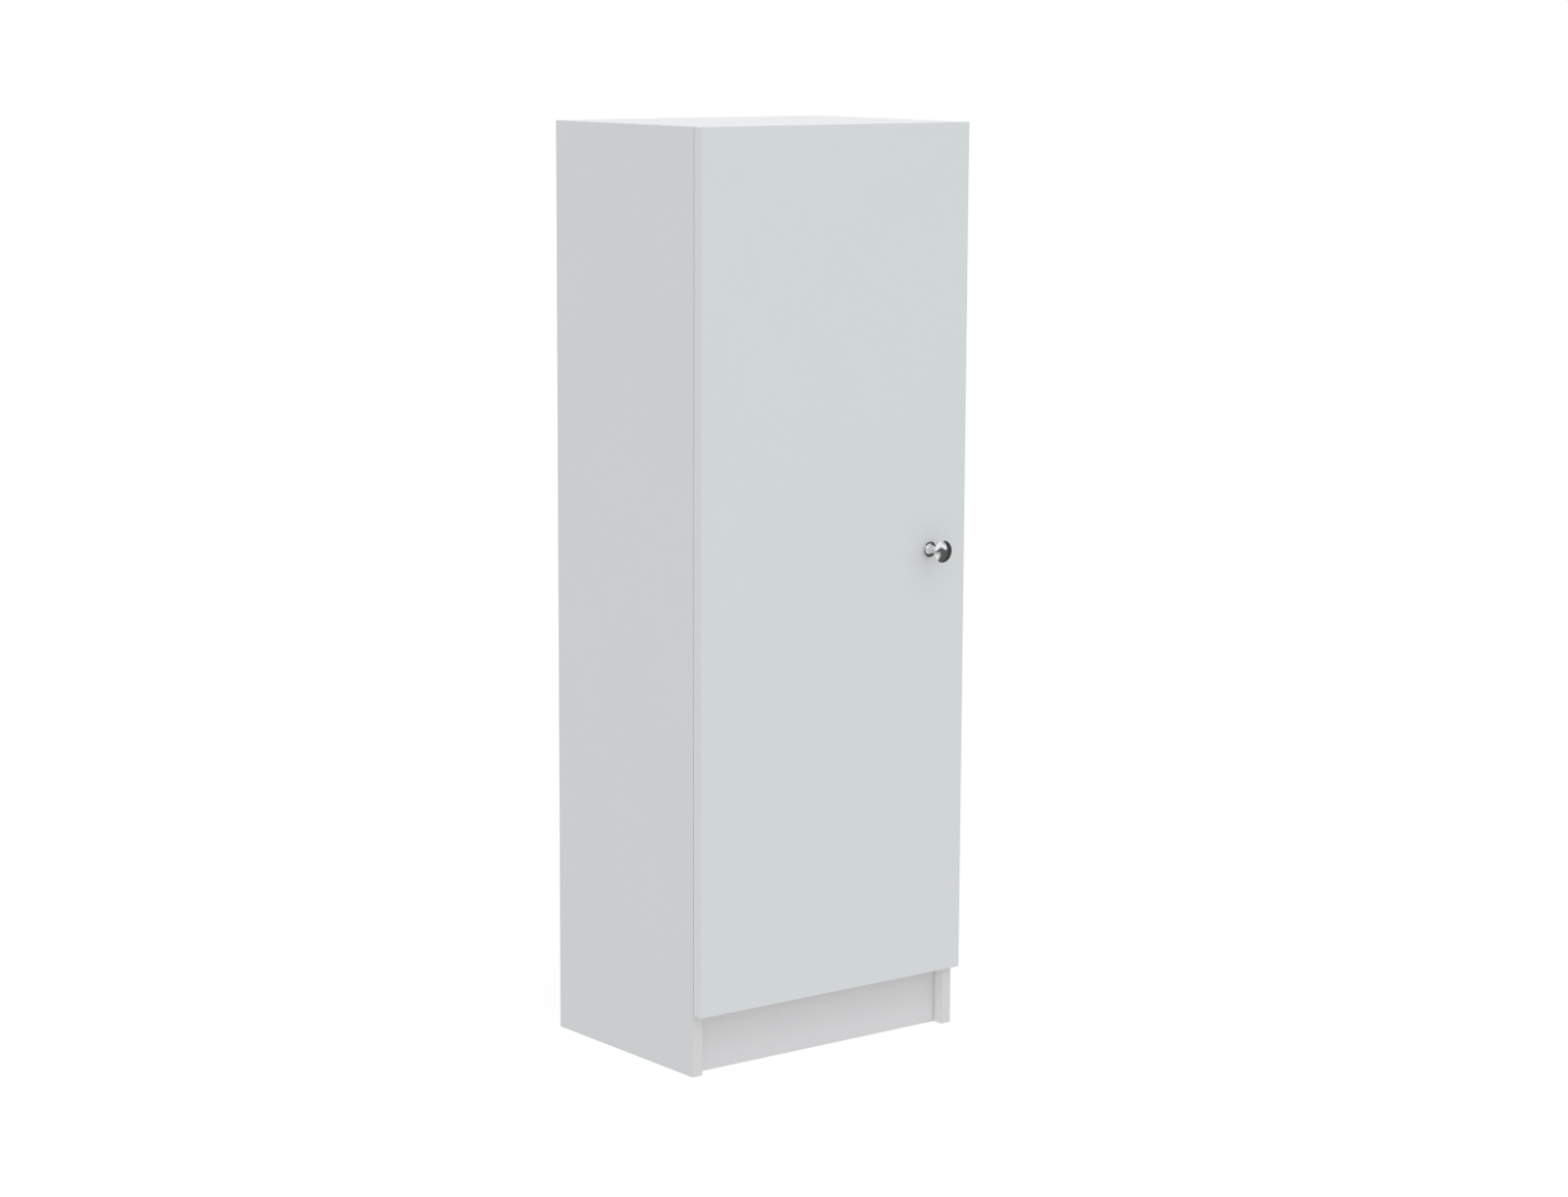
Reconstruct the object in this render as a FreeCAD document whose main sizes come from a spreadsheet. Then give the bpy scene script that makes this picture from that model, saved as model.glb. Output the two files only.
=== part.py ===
import FreeCAD, Part
import math
import os
import Sketcher
from FreeCAD import Placement, Rotation, Vector

# ---------------------------------------------------------------------------
# Broom cupboard: flat-pack carcass of melamine-faced particle board with one
# full-overlay door, three concealed cup hinges on the left and a turned knob
# on the right.  Millimetres.  +Z is up, the door looks towards -Y and +X is on
# the right of somebody standing in front of it.  The origin lies on the floor
# in the middle of the outline.
# ---------------------------------------------------------------------------

os.makedirs("parts", exist_ok=True)
doc = FreeCAD.newDocument("broom_cupboard")
sheet = doc.addObject("Spreadsheet::Sheet", "dims")

DIMS = [
    # carcass
    ("cab_width", 450.0), ("cab_height", 1255.0), ("carcass_depth", 313.0),
    ("board_thk", 16.0), ("back_thk", 3.0), ("band_thk", 0.6),
    ("band_ease", 0.45),
    ("front_y", -130.5),
    ("plinth_height", 84.0), ("plinth_recess", 17.0),
    ("back_inset", 3.0), ("back_low_inset", 2.0),
    # door
    ("door_thk", 16.0), ("door_gap", 1.0),
    # shelf
    ("shelf_under", 914.0), ("shelf_play", 1.0), ("shelf_setback", 20.0),
    ("shelf_depth", 283.0),
    ("pin_row_front", 50.0), ("pin_row_rear", 258.0), ("pin_pitch", 32.0),
    ("pin_hole_rad", 2.5), ("pin_hole_deep", 10.0), ("pin_rad", 2.45),
    ("pin_drop", 2.5),
    # carcass fittings
    ("cam_front", 50.0), ("cam_rear", 260.0), ("cam_set", 34.0),
    ("cam_bore_rad", 7.5), ("cam_bore_deep", 13.0), ("cam_rad", 7.45),
    ("cam_tall", 12.7), ("bolt_hole_rad", 2.95), ("bolt_hole_deep", 11.5),
    ("rod_bore_rad", 3.6), ("rod_bore_deep", 35.0),
    ("dowel_front", 95.0), ("dowel_rear", 215.0), ("dowel_rad", 4.0),
    ("dowel_long", 30.0), ("dowel_bore_rad", 4.05), ("dowel_in_side", 11.0),
    ("dowel_in_end", 20.0), ("plinth_dowel_low", 16.0),
    ("plinth_dowel_high", 68.0), ("plinth_cam", 42.0),
    ("nail_rad", 0.7), ("nail_hole_rad", 0.75), ("nail_long", 20.0),
    # hinges
    ("hinge_low", 184.0), ("hinge_mid", 669.5), ("hinge_top", 1155.0),
    ("plate_row", 37.0), ("plate_half", 16.0), ("plate_screw_rad", 2.95),
    ("plate_hole_rad", 3.0), ("plate_hole_deep", 11.3),
    ("cup_in", 22.5), ("cup_bore_rad", 17.5), ("cup_bore_deep", 12.0),
    ("cup_rad", 17.4), ("cup_wall", 0.7), ("cup_deep", 12.0),
    ("cup_floor", 0.7), ("flange_thk", 0.6),
    ("cup_screw_in", 32.0), ("cup_screw_half", 24.0),
    ("cup_screw_rad", 1.6), ("cup_screw_hole_rad", 1.65),
    ("cup_screw_hole_deep", 11.3),
    ("pivot_rad", 1.25), ("pivot_hole_rad", 1.32), ("pivot_snug_rad", 1.28),
    # knob
    ("knob_in", 63.2), ("knob_up", 679.0), ("knob_long", 35.0),
    ("knob_hole_rad", 2.2), ("knob_thread_rad", 2.0), ("knob_bolt_rad", 1.95),
]


class Q:
    """A driving dimension: its value and the expression that reads it."""

    def __init__(self, v, e):
        self.v = float(v)
        self.e = e

    def _mix(self, o, sign, fn, swap=False):
        if not isinstance(o, Q):
            o = Q(o, "(%.6g)" % o)
        a, b = (o, self) if swap else (self, o)
        return Q(fn(a.v, b.v), "(%s %s %s)" % (a.e, sign, b.e))

    def __add__(self, o):
        return self._mix(o, "+", lambda a, b: a + b)

    def __radd__(self, o):
        return self._mix(o, "+", lambda a, b: a + b, True)

    def __sub__(self, o):
        return self._mix(o, "-", lambda a, b: a - b)

    def __rsub__(self, o):
        return self._mix(o, "-", lambda a, b: a - b, True)

    def __mul__(self, o):
        return self._mix(o, "*", lambda a, b: a * b)

    def __rmul__(self, o):
        return self._mix(o, "*", lambda a, b: a * b, True)

    def __truediv__(self, o):
        return self._mix(o, "/", lambda a, b: a / b)

    def __neg__(self):
        return Q(-self.v, "(-1 * %s)" % self.e)


D = {}
for row, (name, value) in enumerate(DIMS, start=1):
    sheet.set("A%d" % row, name)
    sheet.set("B%d" % row, "%g" % value)
    sheet.setAlias("B%d" % row, name)
    D[name] = Q(value, "dims." + name)
doc.recompute()

nodes = []          # finished sub-parts, in the order in which they are made


def q(x):
    return x if isinstance(x, Q) else Q(x, "%.6g" % x)


def bind(obj, prop, x):
    """Give obj.prop the size x, driven from the sheet where it can be."""
    if isinstance(x, Q):
        obj.setExpression(prop, x.e)
    else:
        setattr(obj, prop, x)


def place(obj, x, y, z, rot=None):
    obj.Placement = Placement(Vector(q(x).v, q(y).v, q(z).v), rot or Rotation())
    for axis, val in zip("xyz", (x, y, z)):
        if isinstance(val, Q):
            obj.setExpression("Placement.Base." + axis, val.e)


def node(obj, label):
    obj.Label = label
    nodes.append(obj)
    return obj


# ------------------------------------------------------------- sketch helpers
def new_body(label):
    body = doc.addObject("PartDesign::Body", label)
    body.Label = label
    return body


def origin_plane(body, role):
    for o in body.Origin.OriginFeatures:
        if o.Role == role:
            return o


def new_sketch(body, role, off=0.0):
    sk = body.newObject("Sketcher::SketchObject", "outline")
    sk.AttachmentSupport = (origin_plane(body, role), [""])
    sk.MapMode = "FlatFace"
    off = q(off)
    sk.AttachmentOffset = Placement(Vector(0, 0, off.v), Rotation())
    if off.e != "0":
        sk.setExpression("AttachmentOffset.Base.z", off.e)
    return sk


def con(sk, kind, args, val):
    val = q(val)
    i = sk.addConstraint(Sketcher.Constraint(kind, *args, val.v))
    sk.setExpression("Constraints[%d]" % i, val.e)


def rectangle(sk, u0, v0, du, dv):
    u0, v0, du, dv = q(u0), q(v0), q(du), q(dv)
    p = [(u0.v, v0.v), (u0.v + du.v, v0.v), (u0.v + du.v, v0.v + dv.v),
         (u0.v, v0.v + dv.v)]
    n = sk.GeometryCount
    for i in range(4):
        a, b = p[i], p[(i + 1) % 4]
        sk.addGeometry(Part.LineSegment(Vector(a[0], a[1], 0),
                                        Vector(b[0], b[1], 0)), False)
    for i in range(4):
        sk.addConstraint(Sketcher.Constraint("Coincident", n + i, 2,
                                             n + (i + 1) % 4, 1))
    for i in (0, 2):
        sk.addConstraint(Sketcher.Constraint("Horizontal", n + i))
    for i in (1, 3):
        sk.addConstraint(Sketcher.Constraint("Vertical", n + i))
    con(sk, "DistanceX", (n, 1, n, 2), du)
    con(sk, "DistanceY", (n + 1, 1, n + 1, 2), dv)
    if u0.v == 0.0 and v0.v == 0.0:
        sk.addConstraint(Sketcher.Constraint("Coincident", n, 1, -1, 1))
    else:
        con(sk, "DistanceX", (-1, 1, n, 1), u0)
        con(sk, "DistanceY", (-1, 1, n, 1), v0)


def circle(sk, u, v, r):
    u, v, r = q(u), q(v), q(r)
    n = sk.GeometryCount
    sk.addGeometry(Part.Circle(Vector(u.v, v.v, 0), Vector(0, 0, 1), r.v), False)
    con(sk, "Radius", (n,), r)
    con(sk, "DistanceX", (-1, 1, n, 3), u)
    con(sk, "DistanceY", (-1, 1, n, 3), v)


def outline(sk, pts):
    """Closed outline: a point is (u, v); (u, v, mu, mv) reaches (u, v) by an
    arc through (mu, mv)."""
    n = sk.GeometryCount
    k = len(pts)
    for i in range(k):
        a = pts[i]
        b = pts[(i + 1) % k]
        p, e = Vector(a[0], a[1], 0), Vector(b[0], b[1], 0)
        if len(b) == 4:
            sk.addGeometry(Part.Arc(p, Vector(b[2], b[3], 0), e), False)
        else:
            sk.addGeometry(Part.LineSegment(p, e), False)


def pad(body, sk, length):
    f = body.newObject("PartDesign::Pad", "pad")
    f.Profile = sk
    bind(f, "Length", length)
    sk.Visibility = False
    return f


def pocket(body, sk, depth, flip=False):
    doc.recompute()
    before = body.Shape.Volume
    f = body.newObject("PartDesign::Pocket", "pocket")
    f.Profile = sk
    bind(f, "Length", depth)
    f.Reversed = flip
    doc.recompute()
    if body.Shape.Volume > before - 1e-3:
        raise RuntimeError("%s: a pocket cuts nothing" % body.Label)
    sk.Visibility = False
    return f


def pad_z(body, draw, z0, z1):
    """Pad an outline in the XY plane from z0 to z1."""
    sk = new_sketch(body, "XY_Plane", z0)
    draw(sk)
    return pad(body, sk, q(z1) - q(z0))


def pad_y(body, draw, y0, y1):
    """Pad an outline in the XZ plane from y0 to y1 (y1 > y0)."""
    sk = new_sketch(body, "XZ_Plane", -q(y1))
    draw(sk)
    return pad(body, sk, q(y1) - q(y0))


def pad_x(body, draw, x0, x1):
    sk = new_sketch(body, "YZ_Plane", x0)
    draw(sk)
    return pad(body, sk, q(x1) - q(x0))


def cut_z(body, draw, z0, z1):
    sk = new_sketch(body, "XY_Plane", z1)
    draw(sk)
    return pocket(body, sk, q(z1) - q(z0))


def cut_y(body, draw, y0, y1):
    sk = new_sketch(body, "XZ_Plane", -q(y0))
    draw(sk)
    return pocket(body, sk, q(y1) - q(y0))


def cut_x(body, draw, x0, x1):
    sk = new_sketch(body, "YZ_Plane", x1)
    draw(sk)
    return pocket(body, sk, q(x1) - q(x0))


def turned(label, pts):
    """A turned piece: outline (radius, height) spun about the Z axis."""
    body = new_body(label)
    sk = new_sketch(body, "XZ_Plane")
    outline(sk, pts)
    rv = body.newObject("PartDesign::Revolution", "turning")
    rv.Profile = sk
    rv.ReferenceAxis = (sk, ["V_Axis"])
    rv.Angle = 360
    sk.Visibility = False
    return body


def dome(r0, z0, z1):
    """Arc from (r0, z0) to the axis at z1, as part of a sphere."""
    rise = z1 - z0
    rs = (r0 * r0 + rise * rise) / (2 * rise)
    a = math.asin(r0 / rs) / 2 if rise < r0 else math.pi / 4
    return (0, z1, rs * math.sin(a), z1 - rs + rs * math.cos(a))


def group(label, master, spots):
    """Identical pieces in one node: one placed copy of master per spot."""
    links = []
    for x, y, z, rot in spots:
        ln = doc.addObject("App::Link", label + "_copy")
        ln.LinkedObject = master
        place(ln, x, y, z, rot)
        links.append(ln)
    comp = doc.addObject("Part::Compound", label)
    comp.Links = links
    return node(comp, label)


# ------------------------------------------------------------- main positions
W, H, T, FY = D["cab_width"], D["cab_height"], D["board_thk"], D["front_y"]
BT, BK, DEP = D["band_thk"], D["back_thk"], D["carcass_depth"]
PH = D["plinth_height"]
HALF = W / 2
IN_L = T - HALF                  # inner face of the left side, x
IN_R = HALF - T                  # inner face of the right side, x
CORE_Y = FY + BT                 # front of the particle board behind its band
CORE_D = DEP - BK - BT           # depth of sides, top and bottom without band
HINGES = [("lower", D["hinge_low"]), ("middle", D["hinge_mid"]),
          ("upper", D["hinge_top"])]

# shelf-pin holes: rows at the usual 32 mm pitch, around the shelf's height
PIN_Z = D["shelf_under"] - D["pin_drop"]
PIN_STEPS = list(range(-5, 5))
NAIL_SIDE_Z = [102.0 + 142.5 * i for i in range(9)]
NAIL_CROSS_X = [-140.0, 0.0, 140.0]

TO_PX = Rotation(Vector(0, 1, 0), 90)       # turned +Z axis -> +X
TO_NX = Rotation(Vector(0, 1, 0), -90)      # turned +Z axis -> -X
TO_NY = Rotation(Vector(1, 0, 0), 90)       # turned +Z axis -> -Y
TO_PY = Rotation(Vector(1, 0, 0), -90)      # turned +Z axis -> +Y


def board(label, x0, y0, z0, dx, dy, dz):
    body = new_body(label)
    pad_z(body, lambda sk: rectangle(sk, 0, 0, dx, dy), 0, dz)
    place(body, x0, y0, z0)
    node(body, label)
    return body


# ------------------------------------------------------------- side panels
def side_panel(label, x0, inner, hinged):
    b = board(label, x0, CORE_Y, 0, T, CORE_D, H - BT)
    cut = (lambda sk_fn, depth: cut_x(b, sk_fn, T - depth, T)) if inner > 0 else \
        (lambda sk_fn, depth: pocket(b, started(b, sk_fn), depth, True))

    def started(body, fn):
        sk = new_sketch(body, "YZ_Plane", 0)
        fn(sk)
        return sk

    mids = [H - T / 2, PH + T / 2]

    def bolts(sk):
        for z in mids:
            for y in (D["cam_front"], D["cam_rear"]):
                circle(sk, y - BT, z, D["bolt_hole_rad"])
        circle(sk, D["plinth_recess"] + T / 2 - BT, D["plinth_cam"],
               D["bolt_hole_rad"])

    def dowels(sk):
        for z in mids:
            for y in (D["dowel_front"], D["dowel_rear"]):
                circle(sk, y - BT, z, D["dowel_bore_rad"])
        for z in (D["plinth_dowel_low"], D["plinth_dowel_high"]):
            circle(sk, D["plinth_recess"] + T / 2 - BT, z, D["dowel_bore_rad"])

    def pins(sk):
        for k in PIN_STEPS:
            for y in (D["pin_row_front"], D["pin_row_rear"]):
                circle(sk, y - BT, PIN_Z + D["pin_pitch"] * k,
                       D["pin_hole_rad"])

    cut(bolts, D["bolt_hole_deep"])
    cut(dowels, D["dowel_in_side"])
    cut(pins, D["pin_hole_deep"])
    if hinged:
        def plates(sk):
            for _, z in HINGES:
                for s in (-1, 1):
                    circle(sk, D["plate_row"] - BT, z + D["plate_half"] * s,
                           D["plate_hole_rad"])
        cut(plates, D["plate_hole_deep"])

    # pilot holes of the nails that hold the back panel
    sk = new_sketch(b, "XZ_Plane", -CORE_D)
    for z in NAIL_SIDE_Z:
        circle(sk, T / 2, z, D["nail_hole_rad"])
    pocket(b, sk, D["nail_long"] - BK + 0.3, True)
    return b


side_panel("side_panel_left", -HALF, 1, True)
side_panel("side_panel_right", IN_R, -1, False)


# ------------------------------------------------------------- cross panels
def end_bores(b, dx, rows, zmid, cams_y, dowels_y):
    """Rod and dowel bores in both ends of a board that sits between the
    sides; rows is (cam positions, dowel positions) as (u, v) pairs."""
    cams, dowels = rows

    def rod(sk):
        for u, v in cams:
            circle(sk, u, v, D["rod_bore_rad"])

    def dwl(sk):
        for u, v in dowels:
            circle(sk, u, v, D["dowel_bore_rad"])

    for fn, depth in ((rod, D["rod_bore_deep"]), (dwl, D["dowel_in_end"])):
        cut_x(b, fn, dx - depth, dx)
        sk = new_sketch(b, "YZ_Plane", 0)
        fn(sk)
        pocket(b, sk, depth, True)


def cross_panel(label, z0):
    dx = W - T * 2
    b = board(label, IN_L, CORE_Y, z0, dx, CORE_D, T)
    cams_y = (D["cam_front"] - BT, D["cam_rear"] - BT)
    dow_y = (D["dowel_front"] - BT, D["dowel_rear"] - BT)
    end_bores(b, dx, ([(y, T / 2) for y in cams_y], [(y, T / 2) for y in dow_y]),
              T / 2, cams_y, dow_y)
    # cam bores, from underneath
    sk = new_sketch(b, "XY_Plane", 0)
    for x in (D["cam_set"], dx - D["cam_set"]):
        for y in cams_y:
            circle(sk, x, y, D["cam_bore_rad"])
    pocket(b, sk, D["cam_bore_deep"], True)
    # pilot holes for the back panel's nails
    sk = new_sketch(b, "XZ_Plane", -CORE_D)
    for x in NAIL_CROSS_X:
        circle(sk, dx / 2 + x, T / 2, D["nail_hole_rad"])
    pocket(b, sk, D["nail_long"] - BK + 0.3, True)
    return b


cross_panel("top_panel", H - T)
cross_panel("bottom_panel", PH)

# plinth board, set back behind the door, standing on the floor
plinth = board("plinth_board", IN_L, FY + D["plinth_recess"], 0,
               W - T * 2, T, PH)
end_bores(plinth, W - T * 2,
          ([(T / 2, D["plinth_cam"])],
           [(T / 2, D["plinth_dowel_low"]), (T / 2, D["plinth_dowel_high"])]),
          None, None, None)
sk = new_sketch(plinth, "XZ_Plane", -T)
for x in (D["cam_set"], W - T * 2 - D["cam_set"]):
    circle(sk, x, D["plinth_cam"], D["cam_bore_rad"])
pocket(plinth, sk, D["cam_bore_deep"], True)

# back panel: thin hardboard nailed onto the rear edges
BACK_Z0 = PH + D["back_low_inset"]
back_dz = H - D["back_inset"] - BACK_Z0
back = board("back_panel", D["back_inset"] - HALF, FY + DEP - BK, BACK_Z0,
             W - D["back_inset"] * 2, BK, back_dz)
NAILS = []
for z in NAIL_SIDE_Z:
    NAILS.append((T / 2 - HALF, q(z)))
    NAILS.append((HALF - T / 2, q(z)))
for x in NAIL_CROSS_X:
    NAILS.append((q(x), H - T / 2))
    NAILS.append((q(x), PH + T / 2))
for rad, depth in ((D["nail_hole_rad"], BK), (1.6, 0.5)):
    sk = new_sketch(back, "XZ_Plane", -BK)
    for x, z in NAILS:
        circle(sk, x + HALF - D["back_inset"], z - BACK_Z0, rad)
    pocket(back, sk, depth, True)

# shelf on four pins
shelf_w = W - T * 2 - D["shelf_play"] * 2
board("shelf", IN_L + D["shelf_play"], FY + D["shelf_setback"] + BT,
      D["shelf_under"], shelf_w, D["shelf_depth"] - BT, T)

# ------------------------------------------------------------- door
DOOR_Y0 = FY - D["door_gap"] - D["door_thk"]          # its front face
door = board("door_panel", BT - HALF, DOOR_Y0, PH + BT,
             W - BT * 2, D["door_thk"], H - PH - BT * 2)
DT = D["door_thk"]


def door_drill(draw, depth):
    s = new_sketch(door, "XZ_Plane", -DT)
    draw(s)
    pocket(door, s, depth, True)


def cups(s):
    for _, z in HINGES:
        circle(s, D["cup_in"] - BT, z - PH - BT, D["cup_bore_rad"])


def cup_screws(s):
    for _, z in HINGES:
        for k in (-1, 1):
            circle(s, D["cup_screw_in"] - BT,
                   z - PH - BT + D["cup_screw_half"] * k,
                   D["cup_screw_hole_rad"])


door_drill(cups, D["cup_bore_deep"])
door_drill(cup_screws, D["cup_screw_hole_deep"])
door_drill(lambda s: circle(s, W - D["knob_in"] - BT, D["knob_up"] - PH - BT,
                            D["knob_hole_rad"]), DT)


# ------------------------------------------------------------- edge bands
def band(x0, y0, z0, dx, dy, dz, soft):
    """A strip of edge band.  soft names the edges that are eased by the edge
    trimmer, each by the two faces that meet there, such as "-x-y"."""
    b = doc.addObject("Part::Box", "band_strip")
    bind(b, "Length", q(dx))
    bind(b, "Width", q(dy))
    bind(b, "Height", q(dz))
    place(b, x0, y0, z0)
    doc.recompute()
    bb = b.Shape.BoundBox
    at = {"-x": (0, bb.XMin), "+x": (0, bb.XMax), "-y": (1, bb.YMin),
          "+y": (1, bb.YMax), "-z": (2, bb.ZMin), "+z": (2, bb.ZMax)}
    picked = []
    for i, e in enumerate(b.Shape.Edges, start=1):
        ends = [v.Point for v in e.Vertexes]
        for pair in soft.split():
            faces = (at[pair[:2]], at[pair[2:]])
            if all(abs(p[k] - v) < 1e-6 for k, v in faces for p in ends):
                picked.append((i, D["band_ease"].v, D["band_ease"].v))
    if len(picked) != len(soft.split()):
        raise RuntimeError("an edge to ease wasn't found: " + soft)
    f = doc.addObject("Part::Fillet", "eased_strip")
    f.Base = b
    f.Edges = picked
    return f


def bands(label, strips):
    c = doc.addObject("Part::Compound", label)
    c.Links = strips
    return node(c, label)


for side, x0 in (("left", -HALF), ("right", IN_R)):
    bands("edge_band_side_" + side,
          [band(x0, FY, 0, T, BT, H, "-x-y +x-y -y+z"),
           band(x0, CORE_Y, H - BT, T, CORE_D, BT, "-x+z +x+z")])
FRONT_EASE = "-y-z -y+z"
bands("edge_band_top_panel",
      [band(IN_L, FY, H - T, W - T * 2, BT, T, FRONT_EASE)])
bands("edge_band_bottom_panel",
      [band(IN_L, FY, PH, W - T * 2, BT, T, FRONT_EASE)])
bands("edge_band_shelf",
      [band(IN_L + D["shelf_play"], FY + D["shelf_setback"], D["shelf_under"],
            shelf_w, BT, T, FRONT_EASE)])
bands("edge_bands_door",
      [band(-HALF, DOOR_Y0, PH, BT, DT, H - PH, "-x-y -x+y -x-z -x+z"),
       band(HALF - BT, DOOR_Y0, PH, BT, DT, H - PH, "+x-y +x+y +x-z +x+z"),
       band(BT - HALF, DOOR_Y0, PH, W - BT * 2, DT, BT, "-y-z +y-z"),
       band(BT - HALF, DOOR_Y0, H - BT, W - BT * 2, DT, BT, "-y+z +y+z")])

# ------------------------------------------------------------- carcass fittings
# beech dowel, 8 x 30, chamfered ends; turned about Z, centred on its length
dl, dr = D["dowel_long"].v / 2, D["dowel_rad"].v
dowel = turned("dowel_master", [(0, -dl), (dr - 1, -dl), (dr, -dl + 1.5),
                                (dr, dl - 1.5), (dr - 1, dl), (0, dl)])
shift = D["dowel_in_side"] - 0.5          # length inside the side panel
DX_L = IN_L - shift + D["dowel_long"] / 2
DX_R = IN_R + shift - D["dowel_long"] / 2
spots = []
for z in (H - T / 2, PH + T / 2):
    for y in (D["dowel_front"], D["dowel_rear"]):
        spots.append((DX_L, FY + y, z, TO_PX))
        spots.append((DX_R, FY + y, z, TO_NX))
group("carcass_dowels", dowel, spots)
spots = []
for z in (D["plinth_dowel_low"], D["plinth_dowel_high"]):
    spots.append((DX_L, FY + D["plinth_recess"] + T / 2, z, TO_PX))
    spots.append((DX_R, FY + D["plinth_recess"] + T / 2, z, TO_NX))
group("plinth_dowels", dowel, spots)

# cam bolt: thread in the side panel, rod with necked head towards the cam
bolt = turned("cam_bolt_master",
              [(0, -11.0), (1.9, -11.0), (2.8, -9.6), (2.8, -0.0), (3.4, 0.0),
               (3.4, 1.4), (2.9, 1.9), (2.9, 25.2), (1.7, 26.0), (1.7, 30.5),
               (2.6, 30.9), (3.3, 31.6), (3.3, 33.2), (2.5, 34.0), (0, 34.0)])
bolt_spots, cam_spots = [], []
UP = Rotation()
for z in (H - T, PH):
    for y in (D["cam_front"], D["cam_rear"]):
        bolt_spots.append((IN_L, FY + y, z + T / 2, TO_PX))
        bolt_spots.append((IN_R, FY + y, z + T / 2, TO_NX))
        cam_spots.append((IN_L + D["cam_set"], FY + y, z, UP))
        cam_spots.append((IN_R - D["cam_set"], FY + y, z,
                          Rotation(Vector(0, 0, 1), 180)))
PY = FY + D["plinth_recess"]
bolt_spots.append((IN_L, PY + T / 2, D["plinth_cam"], TO_PX))
bolt_spots.append((IN_R, PY + T / 2, D["plinth_cam"], TO_NX))
FACE_BACK = Rotation(Vector(1, 0, 0), 90)
cam_spots.append((IN_L + D["cam_set"], PY + T, D["plinth_cam"], FACE_BACK))
cam_spots.append((IN_R - D["cam_set"], PY + T, D["plinth_cam"],
                  FACE_BACK.multiply(Rotation(Vector(0, 0, 1), 180))))
group("cam_bolts", bolt, bolt_spots)

# cam disc: z = 0 is the face that stays visible, the rod comes from -x at
# half the board's thickness; the disc is slotted for the necked head
cam = new_body("cam_master")
pad_z(cam, lambda s: circle(s, 0, 0, D["cam_rad"]), 0, D["cam_tall"])
cut_x(cam, lambda s: circle(s, 0, T / 2, 2.1), -8.0, 0)
cut_x(cam, lambda s: circle(s, 0, T / 2, 3.6), -4.3, 1.6)
sk = new_sketch(cam, "XY_Plane", 0)
outline(sk, [(-4.2, -0.8), (-0.8, -0.8), (-0.8, -4.2), (0.8, -4.2), (0.8, -0.8),
             (4.2, -0.8), (4.2, 0.8), (0.8, 0.8), (0.8, 4.2), (-0.8, 4.2),
             (-0.8, 0.8), (-4.2, 0.8)])
pocket(cam, sk, 2.2, True)
group("cam_locks", cam, cam_spots)

# nails of the back panel: flat heads sunk flush, 20 long
nl = D["nail_long"].v
nail = turned("nail_master", [(0, 0), (1.5, 0), (1.5, 0.4), (D["nail_rad"].v, 0.5),
                              (D["nail_rad"].v, nl - 1.6), (0, nl)])
group("back_panel_nails", nail,
      [(x, FY + DEP, z, TO_NY) for x, z in NAILS])

# shelf pins: steel pin in the side, plate and tongue under the shelf
pinm = new_body("shelf_pin_master")
pad_x(pinm, lambda s: circle(s, 0, 0, D["pin_rad"]), -8.0, 0)
pad_x(pinm, lambda s: outline(s, [(-4.5, 2.5), (-4.5, -4.0), (4.5, -4.0, 0, -8.5),
                                  (4.5, 2.5)]), 0, 1.8)
pad_x(pinm, lambda s: outline(s, [(-4.5, 2.5), (-4.5, 0.9), (4.5, 0.9),
                                  (4.5, 2.5)]), 1.6, 10.0)
TURN = Rotation(Vector(0, 0, 1), 180)
group("shelf_pins", pinm,
      [(IN_L, FY + D["pin_row_front"], PIN_Z, UP),
       (IN_L, FY + D["pin_row_rear"], PIN_Z, UP),
       (IN_R, FY + D["pin_row_front"], PIN_Z, TURN),
       (IN_R, FY + D["pin_row_rear"], PIN_Z, TURN)])

# ------------------------------------------------------------- hinges
# Hinge frame: x from the inner face of the left side, y from the carcass
# front, z from the hinge's middle.  Four pivots, door closed:
#   PA  outer link on the arm      PB  outer link in the cup
#   PC  inner link on the arm      PD  inner link in the cup
PA, PB = (16.9, 13.9), (-7.0, -5.7)
PC, PD = (14.6, -8.9), (-2.9, -9.7)
CUP_X = D["cup_in"].v - D["board_thk"].v          # cup centre
link_len = math.hypot(PA[0] - PB[0], PA[1] - PB[1])
E1 = ((PA[0] - PB[0]) / link_len, (PA[1] - PB[1]) / link_len)
E2 = (-E1[1], E1[0])


def on_link(s, e):
    return (PB[0] + s * E1[0] + e * E2[0], PB[1] + s * E1[1] + e * E2[1])


def ribbon(line, widths):
    """Outline of a strip along a centre line, with a half width per point."""
    left, right = [], []
    for i, (x, y) in enumerate(line):
        a = line[max(i - 1, 0)]
        b = line[min(i + 1, len(line) - 1)]
        if 0 < i < len(line) - 1:
            d1 = Vector(x - a[0], y - a[1], 0).normalize()
            d2 = Vector(b[0] - x, b[1] - y, 0).normalize()
            t = (d1 + d2).normalize()
            m = widths[i] / max(0.55, math.cos(d1.getAngle(d2) / 2))
        else:
            t = Vector(b[0] - a[0], b[1] - a[1], 0).normalize()
            m = widths[i]
        left.append((x - t.y * m, y + t.x * m))
        right.append((x + t.y * m, y - t.x * m))
    return left + right[::-1]


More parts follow.
